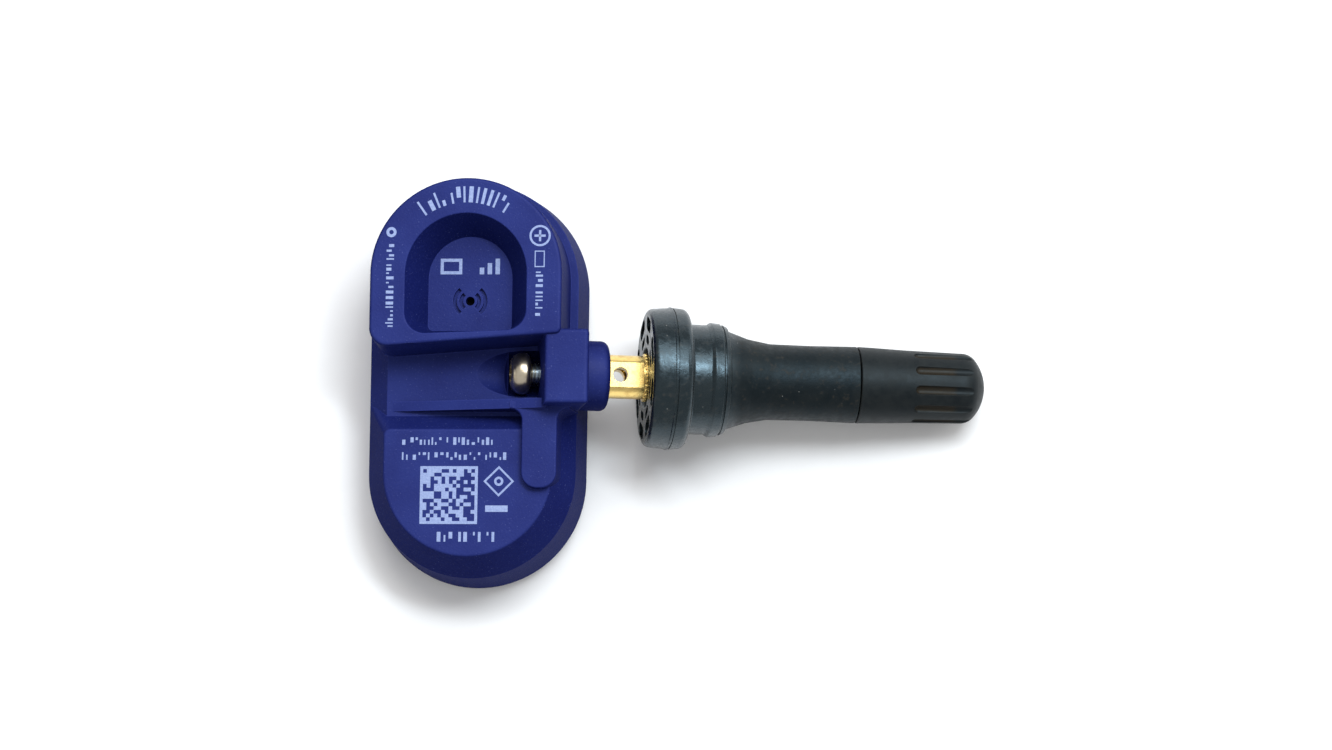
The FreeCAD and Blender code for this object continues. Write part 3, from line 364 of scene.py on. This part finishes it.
# each slot of the record: its recipe and the recipe's settings after the name
FINISHES = {
    "housing_plastic": (blue_plastic,),
    "cover_plastic": (blue_plastic, 0.8),
    "sealant": (dull_solid, (0.02, 0.02, 0.02), (0.035, 0.035, 0.035)),
    "board_laminate": (dull_solid, (0.005, 0.11, 0.035), (0.008, 0.15, 0.05), 1.5, (0.25, 0.35)),
    "cell_steel": (plated_steel, (0.72, 0.71, 0.68)),
    "cell_gasket_plastic": (dull_solid, (0.6, 0.6, 0.56), (0.5, 0.5, 0.46)),
    "cell_black": (dull_solid, (0.015, 0.015, 0.017), (0.03, 0.03, 0.03), 0.2),
    "cell_paper": (dull_solid, (0.75, 0.75, 0.7), (0.62, 0.62, 0.58), 0.15),
    "lithium": (plated_steel, (0.6, 0.6, 0.62), (0.45, 0.6)),
    "nickel_strip": (plated_steel, (0.7, 0.67, 0.6)),
    "chip_black": (dull_solid, (0.012, 0.012, 0.012), (0.022, 0.022, 0.022), 0.15),
    "lid_steel": (plated_steel, (0.66, 0.66, 0.65)),
    "silicone": (dull_solid, (0.42, 0.42, 0.4), (0.34, 0.34, 0.32)),
    # near-black membrane: painted shade for the dark port hole above it
    "membrane_dark": (dull_solid, (0.003, 0.003, 0.006), (0.005, 0.005, 0.009), 0.08, (0.85, 0.95),
                      0.01, 0.03),
    "ceramic_white": (dull_solid, (0.72, 0.72, 0.68), (0.62, 0.62, 0.58), 0.2),
    "ceramic_tan": (dull_solid, (0.32, 0.2, 0.1), (0.25, 0.15, 0.08), 0.2),
    "screw_steel": (screw_steel,),
    "brass": (turned_brass,),
    "valve_rubber": (moulded_rubber,),
    "core_brass": (turned_brass, (0.8, 0.58, 0.24), 0.08),
    "core_seal_rubber": (moulded_rubber, 1.6),
    "spring_steel": (plated_steel, (0.55, 0.55, 0.56)),
    "cap_seal_rubber": (moulded_rubber, 0.9),
    "cap_plastic": (cap_plastic,),
}


def make_materials():
    """One material for each slot of the record."""
    return {slot: recipe(slot, *settings) for slot, (recipe, *settings) in FINISHES.items()}


def dress_cad_nodes(materials):
    """Give each CAD node the material of its slot."""
    for subpart in frame["record"]["subparts"]:
        node = frame["nodes"][subpart["node"]]
        node.data.materials.clear()
        node.data.materials.append(materials[subpart["material_slot"]])


# ---- core spring ----------------------------------------------------------------------------
def add_core_spring(material):
    """Coil in the place of the stiff CAD spring, copied from its mesh and attached to the root body."""
    data = frame["nodes"]["core_spring"].data.copy()
    data.materials.clear()
    data.materials.append(material)
    coil = bpy.data.objects.new("core_spring_coil", data)
    bpy.context.scene.collection.objects.link(coil)
    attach(coil, "root")
    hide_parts("core_spring")
    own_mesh(coil)


# ---- printed marks --------------------------------------------------------------------------
PRINT_THICKNESS = 0.02  # millimetres over and under the printed level
WEDGE_ANGLE = 12  # degrees of a ring's straight wedges


class Marks:
    """Flat printed shapes on one level of the sensor body, drawn in its frame in millimetres."""

    def __init__(self, level):
        self.mesh = bmesh.new()
        self.level = level

    def outline(self, points):
        """Thin slab from a closed plan outline."""
        low = [self.mesh.verts.new((x, y, self.level - PRINT_THICKNESS)) for x, y in points]
        top = [self.mesh.verts.new((x, y, self.level + PRINT_THICKNESS)) for x, y in points]
        self.mesh.faces.new(top)
        self.mesh.faces.new(list(reversed(low)))
        for index in range(len(points)):
            after = (index + 1) % len(points)
            self.mesh.faces.new((low[index], low[after], top[after], top[index]))

    def bar(self, x, y, width, height, angle=0.0):
        """Rectangle about (x, y), turned by an angle in degrees."""
        turn = math.radians(angle)
        across = Vector((math.cos(turn), math.sin(turn))) * width / 2
        upward = Vector((-math.sin(turn), math.cos(turn))) * height / 2
        middle = Vector((x, y))
        self.outline([middle - across - upward, middle + across - upward,
                      middle + across + upward, middle - across + upward])

    def ring(self, x, y, outer, inner):
        """Ring made of short wedges."""
        steps = 360 // WEDGE_ANGLE
        for step in range(steps):
            a = math.radians(WEDGE_ANGLE * step)
            b = math.radians(WEDGE_ANGLE * (step + 1))
            self.outline([(x + inner * math.cos(a), y + inner * math.sin(a)),
                          (x + outer * math.cos(a), y + outer * math.sin(a)),
                          (x + outer * math.cos(b), y + outer * math.sin(b)),
                          (x + inner * math.cos(b), y + inner * math.sin(b))])

    def box(self, x, y, width, height, stroke, angle=0.0):
        """Outlined rectangle."""
        turn = math.radians(angle)
        across = Vector((math.cos(turn), math.sin(turn)))
        upward = Vector((-math.sin(turn), math.cos(turn)))
        for side in (-1, 1):
            end = Vector((x, y)) + across * side * (width - stroke) / 2
            self.bar(end.x, end.y, stroke, height, angle)
            edge = Vector((x, y)) + upward * side * (height - stroke) / 2
            self.bar(edge.x, edge.y, width - 2 * stroke, stroke, angle)

    def finish(self, name, material):
        """Object in the row frame that rides with the sensor body."""
        data = bpy.data.meshes.new(name)
        self.mesh.to_mesh(data)
        self.mesh.free()
        data.transform(BODY)
        data.materials.append(material)
        made = bpy.data.objects.new(name, data)
        bpy.context.scene.collection.objects.link(made)
        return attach(made, "root")


# widths of the bars in the generic rows and gaps between them, millimetres
BAR_WIDTHS = (0.24, 0.24, 0.36, 0.5)
BAR_GAPS = (0.3, 0.42, 0.42, 0.8)
# heights of the bars as shares of their row's height
BAR_HEIGHTS = (1.0, 1.0, 0.68, 0.68, 0.36)
ROW_END_ROOM = 0.3  # millimetres left free at a row's end


def bar_row(marks, place_at, length, height, scale=1.0):
    """Row of plain bars of mixed width and height; place_at gives (x, y, angle) along it."""
    draw = random.Random(int(length * 100))
    along = 0.0
    while along < length - ROW_END_ROOM:
        width = draw.choice(BAR_WIDTHS) * scale
        x, y, angle = place_at(along + width / 2)
        tall = draw.choice(BAR_HEIGHTS)
        lift = draw.choice((-0.5, 0.5)) * (1 - tall) * height
        up = math.radians(angle + 90)
        marks.bar(x + lift * math.cos(up), y + lift * math.sin(up), width, height * tall, angle)
        along += width + draw.choice(BAR_GAPS) * scale


def straight(start, angle):
    """Place along a straight row from its start, at an angle in degrees."""
    turn = math.radians(angle)
    return lambda along: (start[0] + along * math.cos(turn), start[1] + along * math.sin(turn), angle)


def around(centre, radius, first_angle):
    """Place along an arc that runs clockwise from its first angle."""
    def place(along):
        angle = first_angle - math.degrees(along / radius)
        turn = math.radians(angle)
        return centre[0] + radius * math.cos(turn), centre[1] + radius * math.sin(turn), angle - 90
    return place


DOT_SEED = 11
DOT_SHARE = 0.52  # share of the block's cells that are printed
DOT_BORDER = 0.05  # frame of the block as a share of its size
DOT_OVERLAP = 1.001  # neighbouring dots just touch


def dot_block(marks, x, y, size, count):
    """Framed square of scattered square cells."""
    draw = random.Random(DOT_SEED)
    border = size * DOT_BORDER
    marks.box(x, y, size, size, border)
    cell = (size - 2 * border) / count
    for column in range(count):
        for row in range(count):
            if draw.random() < DOT_SHARE:
                marks.bar(x - size / 2 + border + (column + 0.5) * cell,
                          y - size / 2 + border + (row + 0.5) * cell,
                          cell * DOT_OVERLAP, cell * DOT_OVERLAP)


# places of the marks in the sensor body's own frame, millimetres
ARC_CENTRE = (0.0, 13.2)
LEFT_COLUMN_START = (-10.1, 16.9)
LEFT_RING = (-10.0, 18.5)
RIGHT_COLUMN_X = 9.85
RECESS_BOX = (-2.6, 14.6)
STEPS_START = (1.5, 13.55)
DOT_BLOCK = (-2.4, -15.95)
ICON = (4.25, -14.1)
ICON_BAR = (4.0, -17.75)


def add_dome_prints(ink):
    """Marks on the raised half: a row along its round end and a column down each side."""
    arc = Marks(DOME_TOP)
    bar_row(arc, around(ARC_CENTRE, 10.35, 126.0), 12.6, 2.15, 1.15)
    arc.finish("print_arc_row", ink)

    left = Marks(DOME_TOP)
    bar_row(left, straight(LEFT_COLUMN_START, -90.0), 11.8, 1.0, 0.8)
    left.ring(*LEFT_RING, 0.68, 0.3)
    left.finish("print_left_column", ink)

    right = Marks(DOME_TOP)
    bar_row(right, straight((RIGHT_COLUMN_X, 13.2), -90.0), 6.4, 0.95, 0.75)
    right.box(RIGHT_COLUMN_X, 14.9, 1.35, 2.2, 0.14)
    right.ring(RIGHT_COLUMN_X, 18.0, 1.42, 1.14)
    right.bar(RIGHT_COLUMN_X, 18.0, 1.5, 0.3, 90.0)
    right.bar(RIGHT_COLUMN_X, 18.0, 1.5, 0.3)
    right.finish("print_right_column", ink)


def add_recess_prints(ink):
    """Marks on the floor of the recess: a box and three rising steps."""
    recess = Marks(RECESS_FLOOR)
    recess.box(*RECESS_BOX, 2.9, 2.1, 0.42)
    for step, height in enumerate((0.9, 1.5, 2.1)):
        recess.bar(STEPS_START[0] + step * 1.05, STEPS_START[1] + height / 2, 0.6, height)
    recess.finish("print_recess_marks", ink)


def add_plateau_prints(ink):
    """Marks on the low half: rows of bars, a block of dots and an icon over a bar."""
    rows = Marks(PLATEAU_TOP)
    bar_row(rows, straight((-8.75, -8.75), 0.0), 12.4, 1.0, 0.85)
    bar_row(rows, straight((-8.75, -10.75), 0.0), 13.9, 1.0, 0.85)
    bar_row(rows, straight((-3.9, -21.5), 0.0), 7.7, 1.3, 1.0)
    rows.finish("print_plateau_rows", ink)

    block = Marks(PLATEAU_TOP)
    dot_block(block, *DOT_BLOCK, 7.7, 14)
    block.finish("print_dot_block", ink)

    icon = Marks(PLATEAU_TOP)
    icon.box(*ICON, 2.9, 2.9, 0.26, 45.0)
    icon.ring(*ICON, 0.62, 0.3)
    icon.bar(*ICON_BAR, 3.0, 0.85)
    icon.finish("print_icon", ink)


# ---- stage, light and camera ----------------------------------------------------------------
FLOOR_HALF = 1.5  # metres
WORLD_STRENGTH = 0.58
LIGHT_AIM = Vector((0, 0, 0.01))

CAMERA_DISTANCE = 1.2
CAMERA_ELEVATION = 82.5
CAMERA_ROLL = 0.9
SENSOR_WIDTH = 36.0  # millimetres
VIEW_WIDTH = 0.17716  # metres across the frame at the target
TARGET = Vector((-0.00157, 0.00107, 0.010))


def add_floor():
    """Plain pale floor under the object."""
    data = bpy.data.meshes.new("floor")
    half = FLOOR_HALF
    corners = [(-half, -half, 0), (half, -half, 0), (half, half, 0), (-half, half, 0)]
    data.from_pydata(corners, [], [(0, 1, 2, 3)])
    floor = bpy.data.objects.new("floor", data)
    r = Recipe("floor")
    paper = r.ramp(r.noise(4.0, 4.0, 0.6), 0.3, 0.7)
    r.surface(r.mix(paper, rgb(0.91, 0.91, 0.91), rgb(0.93, 0.93, 0.93)), 0.9, specular=0.1)
    data.materials.append(r.material)
    bpy.context.scene.collection.objects.link(floor)


def add_area_light(name, place, size, power, colour=(1, 1, 1)):
    """Rectangular light that points at the object."""
    light = bpy.data.lights.new(name, "AREA")
    light.shape = "RECTANGLE"
    light.size = size[0]
    light.size_y = size[1]
    light.energy = power
    light.color = colour
    made = bpy.data.objects.new(name, light)
    made.location = place
    made.rotation_euler = (LIGHT_AIM - Vector(place)).to_track_quat("-Z", "Y").to_euler()
    bpy.context.scene.collection.objects.link(made)


def add_light():
    """White surroundings, a broad soft key, a narrow cool strip for sheen and a low side light."""
    world = bpy.data.worlds.new("studio")
    bpy.context.scene.world = world
    world.use_nodes = True
    background = world.node_tree.nodes["Background"]
    background.inputs["Color"].default_value = rgb(1.0, 1.0, 1.0)
    background.inputs["Strength"].default_value = WORLD_STRENGTH
    add_area_light("key", (0.1, 0.45, 0.74), (0.85, 0.6), 5.8)
    add_area_light("strip", (0.22, 0.3, 0.78), (0.42, 0.1), 3.2, (0.84, 0.93, 1.0))
    add_area_light("rim", (0.7, 0.4, 0.35), (0.4, 0.3), 1.3)


def add_camera():
    """Long lens, almost straight down on the object."""
    camera = bpy.data.cameras.new("camera")
    camera.sensor_width = SENSOR_WIDTH
    camera.lens = SENSOR_WIDTH * CAMERA_DISTANCE / VIEW_WIDTH
    camera.clip_start = 0.01
    camera.clip_end = 10.0
    made = bpy.data.objects.new("camera", camera)
    rise = math.radians(CAMERA_ELEVATION)
    made.location = TARGET + CAMERA_DISTANCE * Vector((0, -math.cos(rise), math.sin(rise)))
    tilt = Euler((math.pi / 2 - rise, 0, 0)).to_matrix()
    roll = Matrix.Rotation(math.radians(CAMERA_ROLL), 3, "Z")
    made.rotation_euler = (tilt @ roll).to_euler()
    bpy.context.scene.collection.objects.link(made)
    bpy.context.scene.camera = made


# ---- the scene ------------------------------------------------------------------------------
bpy.context.scene.view_settings.view_transform = "Standard"
slot_materials = make_materials()
dress_cad_nodes(slot_materials)
add_core_spring(slot_materials["spring_steel"])
printing_ink = print_ink("print_ink")
add_dome_prints(printing_ink)
add_recess_prints(printing_ink)
add_plateau_prints(printing_ink)
add_floor()
add_light()
add_camera()
